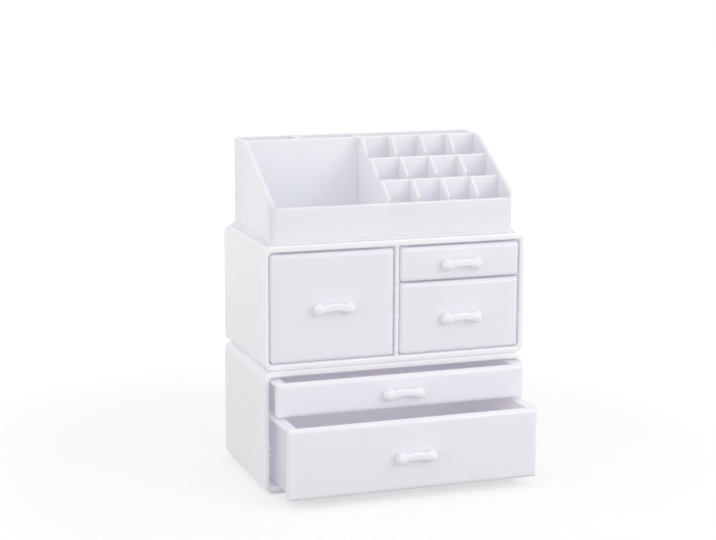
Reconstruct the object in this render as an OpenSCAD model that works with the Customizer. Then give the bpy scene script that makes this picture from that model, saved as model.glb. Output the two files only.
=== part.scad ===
// Stacking vanity organizer: two drawer cases with a compartment tray on top.
// X runs from left to right, Y from the front to the back, Z up. All sizes are in millimetres.
// Each unit is drawn with its front face at Y = 0 and its underside at Z = 0, then stacked.

/* [Cases] */
// Outer width of both drawer cases
case_w = 240; // [220:1:280]
// Outer height of each drawer case
case_h = 108; // [104:1:125]
// Outer depth of each drawer case
case_d = 129; // [120:1:150]
// Outer corner radius of a case, seen from the front
case_r = 8; // [6:0.5:9]
// Thickness of a case's side walls
side_t = 4; // [3:0.5:5]
// Thickness of a case's top and bottom walls
deck_t = 5.4; // [4.6:0.2:7]
// Thickness of a case's closed back
back_t = 3; // [2:0.5:4]
// Thickness of the upright between the bays of the middle case
divider_t = 3; // [2:0.5:5]

/* [Runners] */
// Height from one runner level to the next
level_pitch = 31.6; // [30:0.2:32]
// Height of the rail that carries a drawer's lip
rail_h = 3; // [2:0.2:4]
// Height of the guide rib that keeps a drawer from tipping
guide_h = 2.6; // [2:0.2:3]
// How far rails and guides stand out of the wall
rail_reach = 2.6; // [2.2:0.1:3]
// Distance from the back of a closed drawer front to the runners
rail_setback = 0.6; // [0.4:0.1:2]
// Running gap under a drawer's lip
run_gap = 0.2; // [0.1:0.05:0.4]
// Gap between a drawer's rim and the guide above it
guide_gap = 0.7; // [0.4:0.1:1]

/* [Drawers] */
// Thickness of a drawer front
front_t = 4.5; // [4:0.1:6]
// Rounding of a drawer front's outer edges
front_r = 4; // [2.5:0.1:4]
// Gap on each side of a drawer front
side_gap = 1.5; // [1:0.1:1.6]
// Gap above the top drawer front
top_gap = 2; // [1.5:0.1:2.5]
// Gap between one drawer front and the next
row_gap = 1.6; // [1:0.1:2]
// Gap under the lowest drawer front
bottom_gap = 1; // [0.6:0.1:2]
// How far a drawer box is set in from the ends of its front
box_inset = 7.2; // [6:0.2:9]
// Gap behind a closed drawer
rear_gap = 3; // [1:0.5:12]
// Corner radius of a drawer box, seen from above
box_r = 4; // [3:0.5:6]
// Thickness of a drawer box's walls
wall_t = 2; // [1.6:0.2:2.6]
// Thickness of a drawer's bottom
floor_t = 2; // [1.6:0.2:3]
// Thickness of the rim that runs round a drawer box
rim_t = 1.8; // [1.4:0.2:2.2]
// Height of the lip that hangs from the rim's edge and rides on the rail
lip_h = 3; // [2.6:0.2:3.6]
// Thickness of the lip
lip_t = 1.6; // [1.4:0.1:2]
// How far the rim stands out behind the drawer box
rim_back = 2.4; // [1.8:0.2:3]
// How far the lower base drawer stands open
deep_pull = 47; // [0:1:80]
// How far the upper base drawer stands open
shallow_pull = 15.7; // [0:0.1:80]

/* [Handles] */
// Distance between the two ball ends of a handle
ball_pitch = 27; // [24:1:34]
// Radius of a ball end
ball_r = 5.5; // [5:0.1:6.5]
// How far a ball end stands out in front of the bar
ball_proud = 0.6; // [0.4:0.1:1.2]
// Radius of the neck that joins a ball end to the drawer front
neck_r = 3.8; // [3:0.1:4.4]
// Height of the bar between the balls
bar_h = 6.8; // [6:0.2:7.4]
// Thickness of the bar, front to back
bar_t = 3.8; // [3:0.2:4.4]
// Distance from the drawer front to the bar, room for a fingertip
finger_gap = 4.6; // [4.4:0.1:6]
// Radius of the arch along the middle of the bar
bar_arch_r = 48; // [40:1:90]
// How far a handle sits below the middle of its front
handle_drop = 1.5; // [0:0.5:3]
// Radius of a handle screw's shank
screw_r = 1.5; // [1.2:0.1:2]
// Radial clearance of the screw holes in a front
screw_play = 0.3; // [0.2:0.1:0.5]
// Radius of a screw's pan head
head_r = 3; // [2.6:0.1:4]
// Height of a screw's pan head
head_h = 1.8; // [1.4:0.1:2.4]
// Width of the slot across a screw's head
slot_w = 0.8; // [0.6:0.1:1]
// Depth of the slot across a screw's head
slot_depth = 0.9; // [0.6:0.1:1.2]
// Length of screw inside the handle
screw_bite = 5.5; // [4:0.5:6]

/* [Tray] */
// Distance from the case's sides to the tray's end panels
tray_inset = 8; // [7:0.5:16]
// Distance from the case's front to the tray's front
tray_setback = 7; // [5:0.5:9]
// Distance from the tray's back to the case's back
tray_rear_inset = 3; // [3:0.5:8]
// Height of the tray's low front
tray_front_h = 31; // [26:0.2:36]
// Rise from one row of slots to the next
tier_rise = 16; // [12:0.5:18]
// Thickness of the tray's outer walls
tray_wall_t = 3.4; // [2:0.2:4]
// Thickness of the walls between compartments
inner_wall_t = 2.8; // [1.8:0.2:3.2]
// Thickness of the tray's floors
tray_floor_t = 2.4; // [1.8:0.2:3]
// Corner radius of the tray, seen from above
tray_r = 7; // [5:0.5:8]
// Distance from one row of slots to the next
row_pitch = 28.7; // [27:0.1:30]
// Number of slots across each row
slot_columns = 4; // [3:1:5]
// Clear width of a slot
cell_w = 25.2; // [23:0.2:26]
// Length of a divider's level top edge, up to the middle of its row's wall
step_flat = 4; // [2:0.5:8]
// Length of the level top edge of the partition and dividers at full height
top_flat = 9; // [6:0.5:12]
// Distance from the tray's front to where a side panel is at full height
slope_run = 79; // [60:1:84]
// Radius of the fillet at the foot of each slope between the rows
slope_fillet_r = 10; // [4:1:14]
// Radius of the fillet where the low front's top edge climbs to an end panel
end_fillet_r = 3.4; // [2:0.2:5]
// Height of the flange round the tray's foot
flange_h = 1.6; // [1.2:0.2:2.4]
// How far the flange stands out, and the radius of the cove above it
cove_r = 2.4; // [1.6:0.2:3]

/* [Seats] */
// Distance of the locating studs from the case's sides
stud_inset = 24; // [23:1:40]
// Distance of the front studs from the case's front
stud_front_y = 22; // [20:1:30]
// Distance of the rear studs from the case's back
stud_back_y = 21; // [18:1:28]
// Radius of a locating stud
stud_r = 5; // [3:0.5:6]
// Height of a locating stud
stud_h = 1.5; // [1:0.1:2]
// Clearance round and under a stud in its dimple
stud_play = 0.3; // [0.2:0.05:0.5]
// Radius of an anti-slip foot
foot_r = 6; // [4:0.5:8]
// Thickness of an anti-slip foot
foot_h = 2.2; // [1.6:0.2:3]
// Depth of the recess that holds a foot
foot_recess = 1; // [0.6:0.1:1.4]
// Clearance round a foot in its recess
foot_play = 0.2; // [0.1:0.05:0.4]

/* [Hidden] */
$fn = 64;

plastic = "whitesmoke";
handle_plastic = "white";
steel = "silver";
rubber = "gainsboro";

// Overlap that fuses a rib, rim or wall to the piece it grows from
bond = 0.5;
// Overrun of a cutting shape past the surface that it cuts
over = 1;
// Facets along the fillet of a slope
fillet_steps = 6;
// Runner levels up each wall
levels = 3;
// The level that a tall drawer above nothing starts from
ground = 0;

// Stacking heights
base_z = foot_h - foot_recess;
middle_z = base_z + case_h;
tray_z = middle_z + case_h;

// Bays between the walls
bay_w = case_w - 2 * side_t;
half_bay_w = (bay_w - divider_t) / 2;
half_bay_x = (half_bay_w + divider_t) / 2;
case_back = case_d - back_t;
box_back = case_back - rear_gap - rim_back;

// The whole model stands centred over its footprint, open drawers and handles included
handle_out = finger_gap + bar_t + ball_proud;
ball_out = handle_out - ball_r;
front_y = (max(deep_pull, shallow_pull, 0) + handle_out - case_d) / 2;

// Studs, and the feet below them
stud_x = case_w / 2 - stud_inset;

// Tray
tray_w = case_w - 2 * tray_inset;
tray_d = case_d - tray_setback - tray_rear_inset;
tray_h = tray_front_h + levels * tier_rise;
tray_back = case_d - tray_rear_inset;
tray_mid_y = (tray_setback + tray_back) / 2;
tray_in_x = tray_w / 2 - tray_wall_t;
tray_in_front = tray_setback + tray_wall_t;
tray_in_back = tray_back - tray_wall_t;
slot_pitch = cell_w + inner_wall_t;
partition_x = tray_in_x - slot_columns * slot_pitch + inner_wall_t / 2;
partition_right = partition_x + inner_wall_t / 2;
brush_wall_x = (partition_x - tray_w / 2) / 2;
tray_inner_r = tray_r - tray_wall_t;

// Top edge of a drawer front at a level, which is the top of its rim as well
function level_top(level) = case_h - deck_t - top_gap - (levels - level) * level_pitch;
// Lower edge of a drawer front that stands over the drawer at a level
function front_bottom(level) = level == ground ? deck_t + bottom_gap : level_top(level) + row_gap;
// Top of the rail that carries the drawer at a level
function rail_top(level) = level_top(level) - lip_h - run_gap;
// Height of the handle on a front that runs from above one level up to another
function handle_z(low, high) = (front_bottom(low) + level_top(high)) / 2 - handle_drop;
// Middle of the wall behind a row of slots, counted from the front
function row_wall_y(row) = tray_in_front + row * row_pitch - inner_wall_t / 2;
// Height of the wall behind a row of slots
function row_wall_h(row) = tray_front_h + row * tier_rise;
// Points of an arc, for an outline
function arc(cx, cy, r, from, to) = [
    for (i = [0 : fillet_steps])
        let (a = from + (to - from) * i / fillet_steps) [cx + r * cos(a), cy + r * sin(a)]
];

// Rectangle with round corners, centred on the origin
module round_rect(w, h, r) {
    square([w - 2 * r, h], center = true);
    square([w, h - 2 * r], center = true);
    for (x = [-1, 1], y = [-1, 1])
        translate([x * (w / 2 - r), y * (h / 2 - r)])
            circle(r);
}

// Plan of a box from y0 back to y1, with its two rear corners rounded
module box_plan(w, y0, y1, r) {
    translate([-w / 2, y0])
        square([w, y1 - y0 - r]);
    translate([-w / 2 + r, y0])
        square([w - 2 * r, y1 - y0]);
    for (x = [-1, 1])
        translate([x * (w / 2 - r), y1 - r])
            circle(r);
}

// Round-cornered tube section of a case, from y0 back to y1, shrunk by the wall thicknesses
module case_prism(y0, y1, wall_x, wall_z) {
    translate([0, y1, case_h / 2])
        rotate([90, 0, 0])
            linear_extrude(y1 - y0)
                round_rect(case_w - 2 * wall_x, case_h - 2 * wall_z, case_r - wall_x);
}

// Places its child at the four locating studs
module at_studs() {
    for (x = [-stud_x, stud_x], y = [stud_front_y, case_d - stud_back_y])
        translate([x, y, 0])
            children();
}

// One wall's rails and guides, standing out of the plane X = 0 towards +X
module runners() {
    y0 = front_t + rail_setback;
    run = case_back - y0 + bond;
    for (level = [1 : levels])
        translate([-bond, y0, rail_top(level) - rail_h])
            cube([rail_reach + bond, run, rail_h]);
    for (level = [1 : levels - 1])
        translate([-bond, y0, level_top(level) + guide_gap])
            cube([rail_reach + bond, run, guide_h]);
}

// Runners on both walls of a bay that is centred on X = 0
module bay_runners(w) {
    for (side = [0, 1])
        mirror([side, 0, 0])
            translate([-w / 2, 0, 0])
                runners();
}

// Open-fronted case with dimples in its top for the unit above
module case_shell() {
    difference() {
        case_prism(0, case_d, 0, 0);
        case_prism(-over, case_back, side_t, deck_t);
        translate([0, 0, case_h - stud_h - stud_play])
            at_studs()
                cylinder(r = stud_r + stud_play, h = stud_h + stud_play + over);
    }
}

module base_case() {
    color(plastic)
        translate([0, front_y, base_z]) {
            difference() {
                case_shell();
                translate([0, 0, -over])
                    at_studs()
                        cylinder(r = foot_r + foot_play, h = foot_recess + over);
            }
            bay_runners(bay_w);
        }
}

module middle_case() {
    color(plastic)
        translate([0, front_y, middle_z]) {
            case_shell();
            translate([-divider_t / 2, 0, deck_t - bond])
                cube([divider_t, case_back + bond, case_h - 2 * deck_t + 2 * bond]);
            for (x = [-half_bay_x, half_bay_x])
                translate([x, 0, 0])
                    bay_runners(half_bay_w);
            translate([0, 0, -stud_h])
                at_studs()
                    cylinder(r = stud_r, h = stud_h + bond);
        }
}

module base_feet() {
    color(rubber)
        translate([0, front_y, 0])
            at_studs()
                cylinder(r = foot_r, h = foot_h);
}

// Section of a plate from its face at y = 0 back to y = t, with its two front corners rounded
module soft_section(w, t, r) {
    translate([-w / 2, r])
        square([w, t - r]);
    translate([r - w / 2, 0])
        square([w - 2 * r, t]);
    for (x = [-1, 1])
        intersection() {
            translate([x * (w / 2 - r), r])
                circle(r);
            translate([-w / 2, 0])
                square([w, r]);
        }
}

// Drawer front: a plate with softly rounded outer edges and corners, its face at Y = 0
module soft_front(w, z0, z1) {
    h = z1 - z0;
    r = min(front_r, front_t - bond);
    translate([0, 0, (z0 + z1) / 2])
        intersection() {
            translate([0, 0, -h / 2])
                linear_extrude(h)
                    soft_section(w, front_t, r);
            rotate([0, 90, 0])
                translate([0, 0, -w / 2])
                    linear_extrude(w)
                        soft_section(h, front_t, r);
            translate([0, front_t, 0])
                rotate([90, 0, 0])
                    linear_extrude(front_t)
                        round_rect(w, h, r);
        }
}

// Hollow box behind a front, with a rim and a hanging lip all round it
module drawer_box(w, z0, z1) {
    box_w = w - 2 * box_inset;
    y1 = box_back;
    difference() {
        union() {
            translate([0, 0, z0])
                linear_extrude(z1 - z0)
                    box_plan(box_w, front_t - bond, y1, box_r);
            translate([0, 0, z1 - rim_t])
                linear_extrude(rim_t)
                    box_plan(w, front_t - bond, y1 + rim_back, box_r);
            translate([0, 0, z1 - lip_h])
                linear_extrude(lip_h)
                    difference() {
                        box_plan(w, front_t - bond, y1 + rim_back, box_r);
                        box_plan(w - 2 * lip_t, front_t - over, y1 + rim_back - lip_t, box_r - lip_t);
                    }
        }
        translate([0, 0, z0 + floor_t])
            linear_extrude(z1 - z0)
                box_plan(box_w - 2 * wall_t, front_t, y1 - wall_t, box_r - wall_t);
    }
}

// Drawer for a bay of width w, whose front runs from above one level up to another
module drawer(w, low, high) {
    front_w = w - 2 * side_gap;
    difference() {
        union() {
            soft_front(front_w, front_bottom(low), level_top(high));
            drawer_box(front_w, front_bottom(low), level_top(high));
        }
        translate([0, -over, handle_z(low, high)])
            at_screws()
                cylinder(r = screw_r + screw_play, h = front_t + 2 * over);
    }
}

// Places its child at both screws of a handle, with +Z turned towards the back
module at_screws() {
    for (x = [-1, 1])
        translate([x * ball_pitch / 2, 0, 0])
            rotate([-90, 0, 0])
                children();
}

// Half section of a ball end and its neck, with the drawer front at y = 0
module ball_section() {
    square([neck_r, ball_out]);
    intersection() {
        translate([0, ball_out])
            circle(ball_r);
        square([ball_r, handle_out]);
    }
}

// Section of the bar, with round top and bottom
module bar_section() {
    square([bar_h - bar_t, bar_t], center = true);
    for (x = [-1, 1])
        translate([x * (bar_h - bar_t) / 2, 0])
            circle(bar_t / 2);
}

// Pull with two ball ends and an arched bar, on a front that runs from above one level up to another
module handle(low, high) {
    arch_drop = sqrt(pow(bar_arch_r, 2) - pow(ball_pitch / 2, 2));
    arch_angle = asin(ball_pitch / 2 / bar_arch_r);
    translate([0, 0, handle_z(low, high)])
        difference() {
            union() {
                for (x = [-1, 1])
                    translate([x * ball_pitch / 2, 0, 0])
                        rotate([90, 0, 0])
                            rotate_extrude()
                                ball_section();
                translate([0, -finger_gap - bar_t / 2, -arch_drop])
                    rotate([90, 0, 0])
                        rotate([0, 0, 90 - arch_angle])
                            rotate_extrude(angle = 2 * arch_angle)
                                translate([bar_arch_r, 0])
                                    bar_section();
            }
            translate([0, -screw_bite, 0])
                at_screws()
                    cylinder(r = screw_r, h = screw_bite + over);
        }
}

// Two slotted pan-head screws that hold a handle from inside the drawer
module screws(low, high) {
    translate([0, -screw_bite, handle_z(low, high)])
        at_screws() {
            cylinder(r = screw_r, h = screw_bite + front_t);
            translate([0, 0, screw_bite + front_t])
                difference() {
                    cylinder(r = head_r, h = head_h);
                    translate([-head_r - over, -slot_w / 2, head_h - slot_depth])
                        cube([2 * (head_r + over), slot_w, slot_depth + over]);
                }
        }
}

// Places a drawer's pieces in the base case, pulled out by a distance
module in_base(pull) {
    translate([0, front_y - pull, base_z])
        children();
}

// Places a closed drawer's pieces in one bay of the middle case
module in_middle(x) {
    translate([x, front_y, middle_z])
        children();
}

// Side view of a tray's end panel: low in front, then one slope up to its full height
module panel_profile() {
    polygon([
        [tray_setback, 0],
        [tray_setback, tray_front_h + end_fillet_r],
        [tray_setback + slope_run, tray_h],
        [tray_back, tray_h],
        [tray_back, 0]
    ]);
}

// Fillet that leaves the level z at y and turns into a straight slope up to a point
function slope_foot(y, z, top) =
    let (
        reach = slope_fillet_r * tan(atan2(top.y - z, top.x - y) / 2),
        angle = atan2(top.y - z, top.x - y - reach)
    )
    arc(y + reach - slope_fillet_r * tan(angle / 2), z + slope_fillet_r, slope_fillet_r, -90, angle - 90);

// Side view of a stepped wall: a slope climbs to each row's wall, the last one to a flat
module stepped_profile(y1) {
    polygon(concat(
        [[tray_setback, 0], [tray_setback, tray_front_h]],
        [for (row = [1 : levels])
            let (
                from = row == 1 ? tray_in_front : row_wall_y(row - 1) + inner_wall_t / 2,
                flat = row == levels ? top_flat : step_flat,
                top = [row_wall_y(row) - flat, row_wall_h(row)]
            )
            each concat(slope_foot(from, row_wall_h(row - 1), top), [top])],
        [[y1, tray_h], [y1, 0]]
    ));
}

// Wall of thickness t that stands across X at x, from a side view
module upright(x, t) {
    translate([x - t / 2, 0, 0])
        rotate([90, 0, 90])
            linear_extrude(t)
                children();
}

// Section of a hollow fillet, its corner at the origin and its legs along +X and +Y
module fillet_section(r) {
    difference() {
        translate([-bond, -bond])
            square(r + bond);
        translate([r, r])
            circle(r);
    }
}

// Concave moulding round the tray's foot, one straight run
module cove_run(length) {
    rotate([90, 0, 90])
        linear_extrude(length)
            fillet_section(cove_r);
}

// Flange and cove round the tray's foot
module tray_foot() {
    straight_x = tray_w - 2 * tray_r;
    straight_y = tray_d - 2 * tray_r;
    translate([0, tray_mid_y, 0]) {
        linear_extrude(flange_h)
            round_rect(tray_w + 2 * cove_r, tray_d + 2 * cove_r, tray_r + cove_r);
        translate([0, 0, flange_h]) {
            for (turn = [0, 180])
                rotate([0, 0, turn]) {
                    translate([straight_x / 2, tray_d / 2, 0])
                        mirror([1, 0, 0])
                            cove_run(straight_x);
                    translate([tray_w / 2, straight_y / 2, 0])
                        rotate([0, 0, -90])
                            cove_run(straight_y);
                }
            for (x = [0, 1], y = [0, 1])
                mirror([x, 0, 0])
                    mirror([0, y, 0])
                        translate([straight_x / 2, straight_y / 2, 0])
                            rotate_extrude(angle = 90)
                                translate([tray_r, 0])
                                    fillet_section(cove_r);
        }
    }
}

// Walls of the tray, square-cornered
module tray_walls() {
    // End panels
    upright(-tray_w / 2 + tray_wall_t / 2, tray_wall_t)
        panel_profile();
    upright(tray_w / 2 - tray_wall_t / 2, tray_wall_t)
        panel_profile();
    // Partition between the open left side and the slots
    upright(partition_x, inner_wall_t)
        stepped_profile(tray_back);
    // Dividers between the slots
    for (column = [1 : slot_columns - 1])
        upright(tray_in_x - column * slot_pitch + inner_wall_t / 2, inner_wall_t)
            stepped_profile(row_wall_y(levels) + inner_wall_t / 2);
    // Low front and full-height back
    translate([-tray_w / 2, tray_setback, 0])
        cube([tray_w, tray_wall_t, tray_front_h]);
    translate([-tray_w / 2, tray_in_back, 0])
        cube([tray_w, tray_wall_t, tray_h]);
    for (side = [0, 1])
        mirror([side, 0, 0])
            translate([tray_in_x, tray_in_front, tray_front_h])
                rotate([90, 0, 0])
                    mirror([1, 0, 0])
                        linear_extrude(tray_wall_t)
                            fillet_section(end_fillet_r);
    // Walls behind the rows of slots
    for (row = [1 : levels])
        translate([partition_x, row_wall_y(row) - inner_wall_t / 2, 0])
            cube([tray_w / 2 - partition_x, inner_wall_t, row_wall_h(row)]);
    // Wall in front of the brush bays, and the divider between them
    translate([-tray_w / 2, row_wall_y(levels) - inner_wall_t / 2, 0])
        cube([tray_w / 2 + partition_x, inner_wall_t, tray_h]);
    translate([brush_wall_x - inner_wall_t / 2, row_wall_y(levels), 0])
        cube([inner_wall_t, tray_back - row_wall_y(levels) - bond, tray_h]);
    // Rounded inner corners
    for (side = [0, 1])
        mirror([side, 0, 0]) {
            translate([tray_in_x, tray_in_front, 0])
                rotate([0, 0, 90])
                    linear_extrude(tray_front_h)
                        fillet_section(tray_inner_r);
            translate([tray_in_x, tray_in_back, 0])
                rotate([0, 0, 180])
                    linear_extrude(tray_h)
                        fillet_section(tray_inner_r);
        }
}

// Floors of the tray: flat, with a raised step under each row of slots but the first
module tray_floors() {
    translate([0, tray_mid_y, 0])
        linear_extrude(tray_floor_t)
            round_rect(tray_w, tray_d, tray_r);
    for (row = [2 : levels])
        translate([partition_x, row_wall_y(row - 1), (row - 1) * tier_rise])
            cube([tray_in_x - partition_x + bond, row_pitch, tray_floor_t]);
}

// Hollows under the raised steps, open below
module step_hollows() {
    for (row = [2 : levels])
        translate([partition_right, row_wall_y(row - 1) + inner_wall_t / 2, -over])
            cube([
                tray_in_x - partition_right,
                row_pitch - inner_wall_t,
                (row - 1) * tier_rise + over
            ]);
}

module top_tray() {
    color(plastic)
        translate([0, front_y, tray_z]) {
            difference() {
                union() {
                    intersection() {
                        tray_walls();
                        translate([0, tray_mid_y, 0])
                            linear_extrude(tray_h + over)
                                round_rect(tray_w, tray_d, tray_r);
                    }
                    tray_floors();
                    tray_foot();
                }
                step_hollows();
            }
            translate([0, 0, -stud_h])
                at_studs()
                    cylinder(r = stud_r, h = stud_h + bond);
        }
}

module base_shallow_drawer() {
    color(plastic) in_base(shallow_pull) drawer(bay_w, 2, levels);
}

module base_deep_drawer() {
    color(plastic) in_base(deep_pull) drawer(bay_w, ground, 2);
}

module middle_left_drawer() {
    color(plastic) in_middle(-half_bay_x) drawer(half_bay_w, ground, levels);
}

module middle_right_shallow_drawer() {
    color(plastic) in_middle(half_bay_x) drawer(half_bay_w, 2, levels);
}

module middle_right_deep_drawer() {
    color(plastic) in_middle(half_bay_x) drawer(half_bay_w, ground, 2);
}

module base_shallow_handle() {
    color(handle_plastic) in_base(shallow_pull) handle(2, levels);
}

module base_deep_handle() {
    color(handle_plastic) in_base(deep_pull) handle(ground, 2);
}

module middle_left_handle() {
    color(handle_plastic) in_middle(-half_bay_x) handle(ground, levels);
}

module middle_right_shallow_handle() {
    color(handle_plastic) in_middle(half_bay_x) handle(2, levels);
}

module middle_right_deep_handle() {
    color(handle_plastic) in_middle(half_bay_x) handle(ground, 2);
}

module base_shallow_screws() {
    color(steel) in_base(shallow_pull) screws(2, levels);
}

module base_deep_screws() {
    color(steel) in_base(deep_pull) screws(ground, 2);
}

module middle_left_screws() {
    color(steel) in_middle(-half_bay_x) screws(ground, levels);
}

module middle_right_shallow_screws() {
    color(steel) in_middle(half_bay_x) screws(2, levels);
}

module middle_right_deep_screws() {
    color(steel) in_middle(half_bay_x) screws(ground, 2);
}

base_case();
middle_case();
top_tray();
base_feet();
base_shallow_drawer();
base_deep_drawer();
middle_left_drawer();
middle_right_shallow_drawer();
middle_right_deep_drawer();
base_shallow_handle();
base_deep_handle();
middle_left_handle();
middle_right_shallow_handle();
middle_right_deep_handle();
base_shallow_screws();
base_deep_screws();
middle_left_screws();
middle_right_shallow_screws();
middle_right_deep_screws();
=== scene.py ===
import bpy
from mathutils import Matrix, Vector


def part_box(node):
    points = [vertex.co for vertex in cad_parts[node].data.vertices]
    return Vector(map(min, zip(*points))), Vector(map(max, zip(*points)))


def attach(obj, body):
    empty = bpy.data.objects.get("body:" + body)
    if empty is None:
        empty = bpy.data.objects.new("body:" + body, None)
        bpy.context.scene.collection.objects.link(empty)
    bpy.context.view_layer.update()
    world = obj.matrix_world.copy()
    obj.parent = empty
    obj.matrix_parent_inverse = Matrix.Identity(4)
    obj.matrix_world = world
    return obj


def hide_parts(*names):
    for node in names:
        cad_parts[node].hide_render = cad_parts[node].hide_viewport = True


bl_info = {
    "name": "Stacking Vanity Organizer",
    "version": (1, 0, 0),
    "blender": (4, 5, 0),
    "location": "View3D > Sidebar > Organizer",
    "description": "Finishes the moulded cases, drawers, tray and pulls of a stacking vanity organizer",
    "category": "Object",
}

from math import cos, radians, sin

import bmesh
import bpy
from bpy.props import FloatProperty, FloatVectorProperty, IntProperty, PointerProperty
from mathutils import Matrix, Vector

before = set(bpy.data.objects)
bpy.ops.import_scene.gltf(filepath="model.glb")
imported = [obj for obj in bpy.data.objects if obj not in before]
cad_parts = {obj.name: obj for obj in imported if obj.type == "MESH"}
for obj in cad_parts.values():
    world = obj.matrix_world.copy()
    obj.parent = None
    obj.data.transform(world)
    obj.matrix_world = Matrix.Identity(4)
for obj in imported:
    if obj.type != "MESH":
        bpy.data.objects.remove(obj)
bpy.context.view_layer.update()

MM = 0.001
# Corners closer together than this are one corner
JOIN = 0.002 * MM
# An edge this close to a plane counts as lying on it
ON_PLANE = 0.01 * MM
NEAR_PLANE = 0.1 * MM
# An edge whose faces turn by more than this is a corner and no part of a curve. The tray's walls slant,
# so their tops take the lower limit
SHARP = radians(50)
WALL_SHARP = radians(35)
# Faces that turn by less than this from one to the next lie in one plane
FLAT = radians(0.3)

CASES = {"base_case": "base", "middle_case": "middle"}
DRAWERS = ("base_shallow", "base_deep", "middle_left", "middle_right_shallow", "middle_right_deep")

CASE_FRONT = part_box("base_case")[0][1]
CASE_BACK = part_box("base_case")[1][1]
CASE_HALF = (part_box("base_case")[1][0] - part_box("base_case")[0][0]) / 2
# Seams across a case: inwards of its round corners, and through its studs and dimples
CORNER_CUT = 11 * MM
STUD_INSET = 24 * MM
STUD_FRONT = 22 * MM
STUD_BACK = 21 * MM
STUD_HIGH = 1.5 * MM
# The upright between the two bays of the upper case
DIVIDER = 3 * MM
# Depth of the front and rear lips, which have roundings of their own
LIP_DEEP = 2 * MM

FRONT_THICK = 4.5 * MM
SCREW_APART = 27 * MM

# The tray's underside, the height of its front wall and the place of its outer faces
TRAY_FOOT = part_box("top_tray")[0][2] + STUD_HIGH
TRAY_LOW = 31 * MM
TRAY_FACE = CASE_FRONT + 7 * MM
TRAY_SIDE = CASE_HALF - 8 * MM
TRAY_WALL = 3.4 * MM
# Round inner corners at the ends of the front wall, and how far past them an edge still belongs to them
TRAY_CORNER = 3.4 * MM
CORNER_PAST_X = 0.2 * MM
CORNER_PAST_Y = 0.6 * MM
# Seams across the tray, through the middle of a brush bay and of a column of slots
TRAY_SEAMS = (-29.5 * MM, 40 * MM)
# Back faces of the front wall and of the two low walls behind the rows of slots
ROW_PITCH = 28.7 * MM
ROW_BACKS = [TRAY_FACE + TRAY_WALL + row * ROW_PITCH for row in range(3)]
# Where a divider meets one of those walls, its edges stay crisp from this far inside the wall's back face
# to this far behind it
FOOT_INSIDE = 1.2 * MM
FOOT_CRISP = 1.7 * MM

# Painted glow, as a share of full white: a fixed emission that stands for light passed through the milky
# walls from behind
PAINTED_GLOW = 0.08


def linear(srgb):
    """A sRGB hex colour as the linear numbers that a shader takes."""
    value = srgb.lstrip("#")
    channels = [int(value[i:i + 2], 16) / 255 for i in (0, 2, 4)]
    return tuple(c / 12.92 if c <= 0.04045 else ((c + 0.055) / 1.055) ** 2.4 for c in channels)


# ---------------------------------------------------------------- settings

class OrganizerSizes(bpy.types.PropertyGroup):
    """Sizes that the finishing of the mouldings uses."""

    case_lip: FloatProperty(
        name="Case lip rounding",
        description="Rounding of the front edge round each case's opening",
        default=1.4 * MM, min=0.2 * MM, max=1.4 * MM, unit="LENGTH")
    case_back_edge: FloatProperty(
        name="Case back rounding",
        description="Rounding of each case's rear edge",
        default=1.0 * MM, min=0.2 * MM, max=2.5 * MM, unit="LENGTH")
    wall_edge: FloatProperty(
        name="Wall edge rounding",
        description="Rounding of the top edges of thin moulded walls",
        default=0.8 * MM, min=0.1 * MM, max=1.2 * MM, unit="LENGTH")
    rib_edge: FloatProperty(
        name="Rib edge rounding",
        description="Rounding of rails, guides and other small moulded edges",
        default=0.3 * MM, min=0.1 * MM, max=0.8 * MM, unit="LENGTH")
    segments: IntProperty(
        name="Edge segments",
        description="Number of faces across each rounded edge",
        default=3, min=1, max=6)
    foot_edge: FloatProperty(
        name="Foot rounding",
        description="Rounding of the edges of the rubber feet",
        default=0.4 * MM, min=0.1 * MM, max=0.5 * MM, unit="LENGTH")
    pull_voxel: FloatProperty(
        name="Pull voxel",
        description="Size of the cells that blend a pull's balls into its bar",
        default=0.32 * MM, min=0.2 * MM, max=1.0 * MM, unit="LENGTH")


class OrganizerFinish(bpy.types.PropertyGroup):
    """Colours of the pieces and strength of the light. The cases, tray and drawers are one white plastic
    whose whites differ as painted light: the cases' painted lighter and the tray's a little darker than the
    drawers'.
    """

    # Painted light: the cases' white is lighter than the drawers' to stand for light caught on their rounded
    # front edges
    case_white: FloatVectorProperty(
        name="Case white",
        description="Colour of the cases' glossy plastic",
        default=linear("#F3F5FC"), size=3, min=0.0, max=1.0, subtype="COLOR")
    tray_white: FloatVectorProperty(
        name="Tray white",
        description="Colour of the tray's glossy plastic",
        default=linear("#E8EAEE"), size=3, min=0.0, max=1.0, subtype="COLOR")
    drawer_white: FloatVectorProperty(
        name="Drawer white",
        description="Colour of the drawers' glossy plastic",
        default=linear("#EDEEF3"), size=3, min=0.0, max=1.0, subtype="COLOR")
    pull_white: FloatVectorProperty(
        name="Pull white",
        description="Colour of the pulls' plastic",
        default=linear("#EFF0F3"), size=3, min=0.0, max=1.0, subtype="COLOR")
    rubber_grey: FloatVectorProperty(
        name="Rubber grey",
        description="Colour of the feet's soft rubber",
        default=linear("#D8D8D4"), size=3, min=0.0, max=1.0, subtype="COLOR")
    zinc_grey: FloatVectorProperty(
        name="Zinc grey",
        description="Colour of the screws' zinc plating",
        default=linear("#C9CBD0"), size=3, min=0.0, max=1.0, subtype="COLOR")
    room_light: FloatProperty(
        name="Room light",
        description="Strength of the even white light from all round",
        default=0.77, min=0.0, max=2.0)
    key_light: FloatProperty(
        name="Key light",
        description="Power of the soft lamp at the front right, in watts",
        default=5.3, min=0.0, max=200.0)
    fill_light: FloatProperty(
        name="Fill light",
        description="Power of the soft lamp at the front left, in watts",
        default=3.0, min=0.0, max=200.0)


def sizes():
    return bpy.context.scene.organizer_sizes


def finish():
    return bpy.context.scene.organizer_finish


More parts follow.
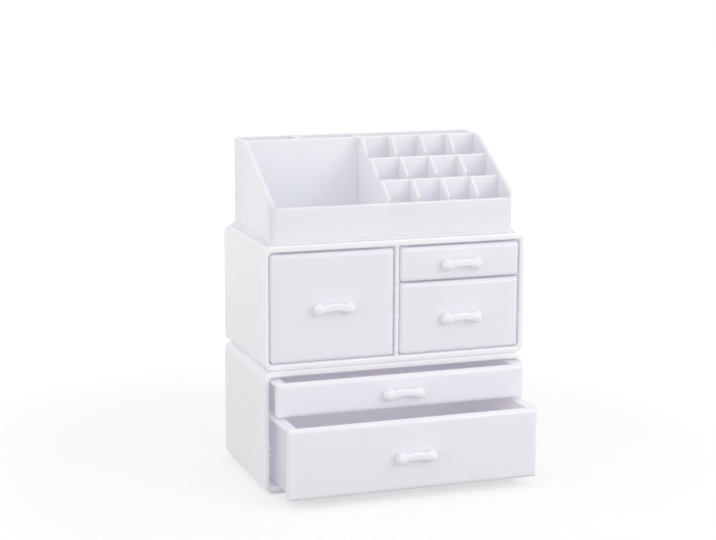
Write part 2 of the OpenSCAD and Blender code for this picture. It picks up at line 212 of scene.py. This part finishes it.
# ---------------------------------------------------------------- modelling helpers

def deselect():
    """Leave nothing selected, the CAD pieces included."""
    bpy.ops.object.select_all(action="DESELECT")


def make_active(obj):
    deselect()
    obj.select_set(True)
    bpy.context.view_layer.objects.active = obj


def softened_copy(node, name, cuts=()):
    """A copy of a CAD piece with its loose triangles joined into large faces, so that its edges can be
    rounded. Each cut is an axis and a place on it, and leaves a seam that keeps faces from wrapping
    round an opening."""
    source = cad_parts[node]
    mesh = source.data.copy()
    mesh.name = name
    mesh.materials.clear()
    obj = bpy.data.objects.new(name, mesh)
    bpy.context.scene.collection.objects.link(obj)
    make_active(obj)
    bpy.ops.object.mode_set(mode="EDIT")
    bpy.ops.mesh.select_all(action="SELECT")
    bpy.ops.mesh.remove_doubles(threshold=JOIN)
    for axis, place in cuts:
        across = Vector((0.0, 0.0, 0.0))
        across["XYZ".index(axis)] = 1.0
        bpy.ops.mesh.select_all(action="SELECT")
        bpy.ops.mesh.bisect(plane_co=across * place, plane_no=across, threshold=JOIN)
        bpy.ops.mesh.mark_seam(clear=False)
    bpy.ops.mesh.select_all(action="SELECT")
    bpy.ops.mesh.dissolve_limited(angle_limit=FLAT, delimit={"SEAM"})
    bpy.ops.object.mode_set(mode="OBJECT")
    return obj


def select_edges(obj, wanted):
    """In edit mode, select the outward edges for which wanted(start, end, angle) is true, and count them."""
    bpy.ops.mesh.select_mode(type="EDGE")
    bpy.ops.mesh.select_all(action="DESELECT")
    shape = bmesh.from_edit_mesh(obj.data)
    count = 0
    for edge in shape.edges:
        if len(edge.link_faces) != 2 or not edge.is_convex:
            continue
        angle = edge.calc_face_angle(0.0)
        if wanted(edge.verts[0].co, edge.verts[1].co, angle):
            edge.select_set(True)
            count += 1
    shape.select_flush(True)
    bmesh.update_edit_mesh(obj.data)
    return count


def round_edges(obj, wanted, width):
    """Round the wanted edges of a moulding."""
    make_active(obj)
    bpy.ops.object.mode_set(mode="EDIT")
    if select_edges(obj, wanted):
        bpy.ops.mesh.bevel(
            offset=width, offset_type="OFFSET", segments=sizes().segments,
            profile=0.5, affect="EDGES", clamp_overlap=False)
    bpy.ops.object.mode_set(mode="OBJECT")


def smooth(obj, degrees=12):
    """Smooth shading that keeps large faces flat. Edges that turn by more than degrees stay sharp, so that
    an arc of the moulding is smooth and a rounded edge doesn't shade the faces beside it."""
    make_active(obj)
    bpy.ops.object.shade_smooth_by_angle(angle=radians(degrees))
    weighted = obj.modifiers.new("Weighted", "WEIGHTED_NORMAL")
    weighted.keep_sharp = True
    weighted.mode = "FACE_AREA"
    bpy.ops.object.modifier_apply(modifier=weighted.name)


def seat(obj, node, body, material):
    """The finished piece takes the CAD piece's place on its body."""
    obj.data.materials.clear()
    obj.data.materials.append(material)
    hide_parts(node)
    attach(obj, body)


# ---------------------------------------------------------------- materials
# On a Mix node set to colours, inputs 6 and 7 are the two colours and output 2 is their mix.

def add_node(tree, kind, inputs=None, **settings):
    """Add a shader node with its settings and its inputs, where an input is a value or a socket."""
    node = tree.nodes.new(kind)
    for key, value in settings.items():
        setattr(node, key, value)
    for key, value in (inputs or {}).items():
        if isinstance(value, bpy.types.NodeSocket):
            tree.links.new(value, node.inputs[key])
        else:
            node.inputs[key].default_value = value
    return node


def blank_material(name):
    material = bpy.data.materials.new(name)
    material.use_nodes = True
    material.node_tree.nodes.clear()
    return material, material.node_tree


def moulded_polystyrene(name, colour, roughness):
    """Glossy injection-moulded polystyrene: a milky white whose skin has a faint flow waviness, so that
    broad reflections wander a little."""
    material, tree = blank_material(name)
    place = add_node(tree, "ShaderNodeTexCoord").outputs["Object"]
    # Cloudy pigment, patches about 60 mm across
    cloud = add_node(tree, "ShaderNodeTexNoise", {
        "Vector": place, "Scale": 1 / (62.5 * MM), "Detail": 2.0, "Roughness": 0.4})
    tint = add_node(tree, "ShaderNodeMix", {
        0: cloud.outputs["Fac"],
        6: (colour[0] * 0.994, colour[1] * 0.994, colour[2] * 0.996, 1.0),
        7: (min(colour[0] * 1.006, 1.0), min(colour[1] * 1.006, 1.0), min(colour[2] * 1.004, 1.0), 1.0),
    }, data_type="RGBA")
    # Handling wear, patches about 12 mm across, dulls the gloss a little
    wear = add_node(tree, "ShaderNodeTexNoise", {
        "Vector": place, "Scale": 1 / (11.8 * MM), "Detail": 3.0, "Roughness": 0.5})
    gloss = add_node(tree, "ShaderNodeMapRange", {
        "Value": wear.outputs["Fac"], "From Min": 0.3, "From Max": 0.7,
        "To Min": roughness - 0.01, "To Max": roughness + 0.01})
    # Sink and flow waviness about 25 mm long and 0.02 mm deep, over a tool texture that is drawn coarse,
    # about 0.7 mm across, so that it shows
    wave = add_node(tree, "ShaderNodeTexNoise", {
        "Vector": place, "Scale": 1 / (25 * MM), "Detail": 1.0, "Roughness": 0.3})
    fine = add_node(tree, "ShaderNodeTexNoise", {
        "Vector": place, "Scale": 1 / (0.714 * MM), "Detail": 2.0, "Roughness": 0.5})
    skin = add_node(tree, "ShaderNodeBump", {
        "Height": wave.outputs["Fac"], "Strength": 0.1, "Distance": 0.02 * MM})
    grain = add_node(tree, "ShaderNodeBump", {
        "Height": fine.outputs["Fac"], "Strength": 0.15, "Distance": 0.004 * MM,
        "Normal": skin.outputs["Normal"]})
    # Light runs about 5 mm under the milky skin and softens every seam and corner. A faint pale mauve
    # emission is painted light: a fixed glow that stands for light come through the wall from behind
    shader = add_node(tree, "ShaderNodeBsdfPrincipled", {
        "Base Color": tint.outputs[2], "Roughness": gloss.outputs["Result"], "IOR": 1.5,
        "Subsurface Weight": 1.0, "Subsurface Radius": (1.0, 0.85, 0.85), "Subsurface Scale": 5 * MM,
        # Painted glow: lifts shaded gaps and insides under any lamp
        "Emission Color": (*linear("#FFF3FF"), 1.0), "Emission Strength": PAINTED_GLOW,
        "Normal": grain.outputs["Normal"]})
    add_node(tree, "ShaderNodeOutputMaterial", {"Surface": shader.outputs["BSDF"]})
    return material


def soft_rubber(name, colour):
    """Matte light grey rubber: a dry, dull surface with a fine even tooth."""
    material, tree = blank_material(name)
    place = add_node(tree, "ShaderNodeTexCoord").outputs["Object"]
    # A tooth drawn coarse, about 1 mm across and 0.05 mm deep, so that it shows, and dust in 7 mm patches
    tooth = add_node(tree, "ShaderNodeTexNoise", {
        "Vector": place, "Scale": 1 / (1.11 * MM), "Detail": 3.0, "Roughness": 0.6})
    dust = add_node(tree, "ShaderNodeTexNoise", {
        "Vector": place, "Scale": 1 / (7.14 * MM), "Detail": 4.0, "Roughness": 0.6})
    tint = add_node(tree, "ShaderNodeMix", {
        0: dust.outputs["Fac"], 6: (*[c * 0.9 for c in colour], 1.0), 7: (*colour, 1.0)}, data_type="RGBA")
    bump = add_node(tree, "ShaderNodeBump", {
        "Height": tooth.outputs["Fac"], "Strength": 0.5, "Distance": 0.05 * MM})
    shader = add_node(tree, "ShaderNodeBsdfPrincipled", {
        "Base Color": tint.outputs[2], "Roughness": 0.75, "Normal": bump.outputs["Normal"]})
    add_node(tree, "ShaderNodeOutputMaterial", {"Surface": shader.outputs["BSDF"]})
    return material


def zinc_plate(name, colour):
    """Zinc-plated steel: a cool grey metal with patches of duller plating."""
    material, tree = blank_material(name)
    place = add_node(tree, "ShaderNodeTexCoord").outputs["Object"]
    # Patches of duller plating, about 1.7 mm across
    patch = add_node(tree, "ShaderNodeTexNoise", {
        "Vector": place, "Scale": 1 / (1.67 * MM), "Detail": 3.0, "Roughness": 0.5})
    tint = add_node(tree, "ShaderNodeMix", {
        0: patch.outputs["Fac"], 6: (*[c * 0.85 for c in colour], 1.0), 7: (*colour, 1.0)}, data_type="RGBA")
    gloss = add_node(tree, "ShaderNodeMapRange", {
        "Value": patch.outputs["Fac"], "To Min": 0.22, "To Max": 0.4})
    shader = add_node(tree, "ShaderNodeBsdfPrincipled", {
        "Base Color": tint.outputs[2], "Roughness": gloss.outputs["Result"], "Metallic": 1.0})
    add_node(tree, "ShaderNodeOutputMaterial", {"Surface": shader.outputs["BSDF"]})
    return material


def material_once(name, make):
    """The material of that name, made the first time that it is asked for."""
    return bpy.data.materials.get(name) or make(name)


def case_plastic():
    return material_once(
        "moulded_polystyrene_case", lambda n: moulded_polystyrene(n, finish().case_white, roughness=0.24))


def tray_plastic():
    return material_once(
        "moulded_polystyrene_tray", lambda n: moulded_polystyrene(n, finish().tray_white, roughness=0.24))


def drawer_plastic():
    return material_once(
        "moulded_polystyrene_drawer", lambda n: moulded_polystyrene(n, finish().drawer_white, roughness=0.25))


def pull_plastic():
    return material_once(
        "moulded_polystyrene_pull", lambda n: moulded_polystyrene(n, finish().pull_white, roughness=0.32))


# ---------------------------------------------------------------- pieces

class ORGANIZER_OT_cases(bpy.types.Operator):
    """Round the lips and ribs of the two drawer cases and give them their plastic"""

    bl_idname = "organizer.cases"
    bl_label = "Cases"
    bl_options = {"REGISTER", "UNDO"}

    def execute(self, context):
        for node, body in CASES.items():
            low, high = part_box(node)
            middle = (low[0] + high[0]) / 2
            half = (high[0] - low[0]) / 2
            cuts = [
                ("X", middle + side * (half - inset))
                for side in (-1, 1) for inset in (CORNER_CUT, STUD_INSET)]
            cuts += [("Y", CASE_FRONT + STUD_FRONT), ("Y", CASE_BACK - STUD_BACK)]
            if node == "middle_case":
                cuts += [("X", middle - DIVIDER / 2), ("X", middle + DIVIDER / 2)]
            case = softened_copy(node, node + "_shell", cuts)

            def at_front(a, b, angle):
                return angle > SHARP and max(abs(a.y - CASE_FRONT), abs(b.y - CASE_FRONT)) < ON_PLANE

            def at_back(a, b, angle):
                return angle > SHARP and max(abs(a.y - CASE_BACK), abs(b.y - CASE_BACK)) < ON_PLANE

            def inside(a, b, angle):
                return (angle > SHARP and min(a.y, b.y) > CASE_FRONT + LIP_DEEP
                        and max(a.y, b.y) < CASE_BACK - LIP_DEEP)

            round_edges(case, inside, sizes().rib_edge)
            round_edges(case, at_front, sizes().case_lip)
            round_edges(case, at_back, sizes().case_back_edge)
            smooth(case)
            seat(case, node, body, case_plastic())
        return {"FINISHED"}


class ORGANIZER_OT_tray(bpy.types.Operator):
    """Round the wall edges of the compartment tray and give it its plastic"""

    bl_idname = "organizer.tray"
    bl_label = "Compartment Tray"
    bl_options = {"REGISTER", "UNDO"}

    def execute(self, context):
        stud_x = CASE_HALF - STUD_INSET
        cuts = [("X", place) for place in (-stud_x, *TRAY_SEAMS, stud_x)]
        cuts += [("Y", CASE_FRONT + STUD_FRONT), ("Y", CASE_BACK - STUD_BACK)]
        # A seam ends the crisp stretch of each divider
        cuts += [("Y", back + FOOT_CRISP) for back in ROW_BACKS]
        tray = softened_copy("top_tray", "top_tray_shell", cuts)
        corner_x = TRAY_SIDE - TRAY_WALL - TRAY_CORNER
        corner_y = TRAY_FACE + TRAY_WALL + CORNER_PAST_Y
        low_top = TRAY_FOOT + TRAY_LOW - NEAR_PLANE

        def wall_top(a, b, angle):
            in_corner = (a.y + b.y) / 2 < corner_y and abs(a.x + b.x) / 2 > corner_x - CORNER_PAST_X
            # The walls behind the slots and the first millimetres of each divider on them stay crisp
            at_foot = abs(a.x) < corner_x and any(
                -FOOT_INSIDE < min(a.y, b.y) - back and max(a.y, b.y) - back < FOOT_CRISP + JOIN
                for back in ROW_BACKS)
            return angle > WALL_SHARP and min(a.z, b.z) > low_top and not in_corner and not at_foot

        def rest(a, b, angle):
            return angle > SHARP and min(a.z, b.z) < low_top

        round_edges(tray, wall_top, sizes().wall_edge)
        round_edges(tray, rest, sizes().rib_edge)
        smooth(tray)
        seat(tray, "top_tray", "tray", tray_plastic())
        return {"FINISHED"}


class ORGANIZER_OT_drawers(bpy.types.Operator):
    """Round the rims of the drawers and give them their plastic"""

    bl_idname = "organizer.drawers"
    bl_label = "Drawers"
    bl_options = {"REGISTER", "UNDO"}

    def execute(self, context):
        for name in DRAWERS:
            node = name + "_drawer"
            low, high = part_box(node)
            middle = (low[0] + high[0]) / 2
            drawer = softened_copy(node, name + "_box", [
                ("X", middle + side * SCREW_APART / 2) for side in (-1, 0, 1)])
            behind = low[1] + FRONT_THICK + NEAR_PLANE
            round_edges(
                drawer, lambda a, b, angle: angle > SHARP and max(a.y, b.y) > behind, sizes().rib_edge)
            smooth(drawer)
            seat(drawer, node, name, drawer_plastic())
        return {"FINISHED"}


class ORGANIZER_OT_pulls(bpy.types.Operator):
    """Blend the balls and bar of each pull into one smooth moulding"""

    bl_idname = "organizer.pulls"
    bl_label = "Pulls"
    bl_options = {"REGISTER", "UNDO"}

    def execute(self, context):
        for name in DRAWERS:
            node = name + "_handle"
            pull = softened_copy(node, name + "_pull")
            blend = pull.modifiers.new("Blend", "REMESH")
            blend.mode = "VOXEL"
            blend.voxel_size = sizes().pull_voxel
            bpy.ops.object.modifier_apply(modifier=blend.name)
            relax = pull.modifiers.new("Relax", "SMOOTH")
            relax.factor = 0.5
            relax.iterations = 8
            bpy.ops.object.modifier_apply(modifier=relax.name)
            bpy.ops.object.shade_smooth()
            seat(pull, node, name, pull_plastic())
        return {"FINISHED"}


class ORGANIZER_OT_fasteners(bpy.types.Operator):
    """Plate the pan-head screws and round the rubber feet"""

    bl_idname = "organizer.fasteners"
    bl_label = "Screws and Feet"
    bl_options = {"REGISTER", "UNDO"}

    def execute(self, context):
        zinc = material_once("zinc_plated_steel", lambda n: zinc_plate(n, finish().zinc_grey))
        rubber = material_once("soft_rubber", lambda n: soft_rubber(n, finish().rubber_grey))
        for name in DRAWERS:
            node = name + "_screws"
            screws = softened_copy(node, name + "_pan_heads")
            smooth(screws, degrees=30)
            seat(screws, node, name, zinc)
        feet = softened_copy("base_feet", "base_feet_pads")
        round_edges(feet, lambda a, b, angle: angle > SHARP, sizes().foot_edge)
        smooth(feet, degrees=30)
        seat(feet, "base_feet", "base", rubber)
        return {"FINISHED"}


# ---------------------------------------------------------------- stage

def soft_lamp(name, place, target, size, power):
    """A square white soft box that shines from place towards target."""
    light = bpy.data.lights.new(name, "AREA")
    light.shape = "SQUARE"
    light.size = size
    light.energy = power
    lamp = bpy.data.objects.new(name, light)
    bpy.context.scene.collection.objects.link(lamp)
    lamp.location = place
    lamp.rotation_euler = (Vector(target) - Vector(place)).to_track_quat("-Z", "Y").to_euler()


def seen_directly(tree):
    """1 on rays from the camera, a mirror or glass, and 0 on the rays that light the object."""
    path = add_node(tree, "ShaderNodeLightPath")
    either = add_node(tree, "ShaderNodeMath", {
        0: path.outputs["Is Camera Ray"], 1: path.outputs["Is Glossy Ray"]}, operation="MAXIMUM")
    return add_node(tree, "ShaderNodeMath", {
        0: either.outputs[0], 1: path.outputs["Is Transmission Ray"]}, operation="MAXIMUM").outputs[0]


class ORGANIZER_OT_stage(bpy.types.Operator):
    """Set up the white floor, the soft light and the camera"""

    bl_idname = "organizer.stage"
    bl_label = "Stage"
    bl_options = {"REGISTER", "UNDO"}

    def execute(self, context):
        scene = context.scene
        scene.view_settings.view_transform = "Standard"
        white = (*linear("#FFFFFF"), 1.0)

        # White room, even light from all round
        world = bpy.data.worlds.new("white_room")
        scene.world = world
        world.use_nodes = True
        tree = world.node_tree
        tree.nodes.clear()
        strength = add_node(tree, "ShaderNodeMapRange", {
            "Value": seen_directly(tree), "To Min": finish().room_light, "To Max": 1.0})
        room = add_node(tree, "ShaderNodeBackground", {
            "Color": white, "Strength": strength.outputs["Result"]})
        add_node(tree, "ShaderNodeOutputWorld", {"Surface": room.outputs["Background"]})

        # White floor that keeps the shadow
        deselect()
        bpy.ops.mesh.primitive_circle_add(vertices=96, radius=6.0, fill_type="NGON")
        floor = context.active_object
        floor.name = "floor"
        material, tree = blank_material("white_floor")
        paper = add_node(tree, "ShaderNodeBsdfDiffuse", {"Color": (*linear("#BCBCBC"), 1.0)})
        glow = add_node(tree, "ShaderNodeEmission", {"Color": white})
        away = add_node(tree, "ShaderNodeVectorMath", {
            0: add_node(tree, "ShaderNodeTexCoord").outputs["Object"]}, operation="LENGTH")
        # Paper white runs out to plain white between 0.3 m and 1.2 m from the object
        spread = add_node(tree, "ShaderNodeMapRange", {
            "Value": away.outputs["Value"], "From Min": 0.3, "From Max": 1.2, "To Min": 0.55, "To Max": 0.85})
        lift = add_node(tree, "ShaderNodeMath", {
            0: seen_directly(tree), 1: spread.outputs["Result"]}, operation="MULTIPLY")
        tree.links.new(lift.outputs[0], glow.inputs["Strength"])
        both = add_node(tree, "ShaderNodeAddShader", {0: paper.outputs["BSDF"], 1: glow.outputs["Emission"]})
        add_node(tree, "ShaderNodeOutputMaterial", {"Surface": both.outputs["Shader"]})
        floor.data.materials.append(material)

        # Two soft boxes, aimed at the middle of the object
        middle = (0.0, 0.0, 0.15)
        soft_lamp("key_soft_box", (0.9, -1.2, 0.6), middle, size=0.9, power=finish().key_light)
        soft_lamp("fill_soft_box", (-1.5, -0.9, 0.5), middle, size=1.2, power=finish().fill_light)

        # Camera, in front and a little to the left, looking down
        place = (-0.53805, -1.45628, 0.48225)
        turn, drop, roll = radians(19.459), radians(10.869), radians(0.269)
        ahead = Vector((sin(turn) * cos(drop), cos(turn) * cos(drop), -sin(drop)))
        side = ahead.cross(Vector((0.0, 0.0, 1.0))).normalized()
        up = side.cross(ahead)
        right = side * cos(roll) + up * sin(roll)
        above = up * cos(roll) - side * sin(roll)
        camera = bpy.data.objects.new("camera", bpy.data.cameras.new("camera"))
        scene.collection.objects.link(camera)
        camera.matrix_world = Matrix.Translation(place) @ Matrix(
            (right, above, -ahead)).transposed().to_4x4()
        camera.data.lens = 90.09
        camera.data.sensor_width = 36.0
        camera.data.clip_end = 50.0
        scene.camera = camera
        return {"FINISHED"}


# ---------------------------------------------------------------- add-on

STEPS = (
    ORGANIZER_OT_stage,
    ORGANIZER_OT_cases,
    ORGANIZER_OT_tray,
    ORGANIZER_OT_drawers,
    ORGANIZER_OT_pulls,
    ORGANIZER_OT_fasteners,
)


class ORGANIZER_PT_panel(bpy.types.Panel):
    """Sizes, finishes and steps of the organizer"""

    bl_idname = "ORGANIZER_PT_panel"
    bl_label = "Organizer"
    bl_space_type = "VIEW_3D"
    bl_region_type = "UI"
    bl_category = "Organizer"

    def draw(self, context):
        layout = self.layout
        for group in (context.scene.organizer_sizes, context.scene.organizer_finish):
            box = layout.box()
            for key in group.__annotations__:
                box.prop(group, key)
        for step in STEPS:
            layout.operator(step.bl_idname)


CLASSES = (OrganizerSizes, OrganizerFinish) + STEPS + (ORGANIZER_PT_panel,)


def register():
    for cls in CLASSES:
        bpy.utils.register_class(cls)
    bpy.types.Scene.organizer_sizes = PointerProperty(type=OrganizerSizes)
    bpy.types.Scene.organizer_finish = PointerProperty(type=OrganizerFinish)


def unregister():
    del bpy.types.Scene.organizer_finish
    del bpy.types.Scene.organizer_sizes
    for cls in reversed(CLASSES):
        bpy.utils.unregister_class(cls)


def main():
    register()
    for step in STEPS:
        section, name = step.bl_idname.split(".")
        getattr(getattr(bpy.ops, section), name)()
    deselect()


if __name__ == "__main__":
    main()
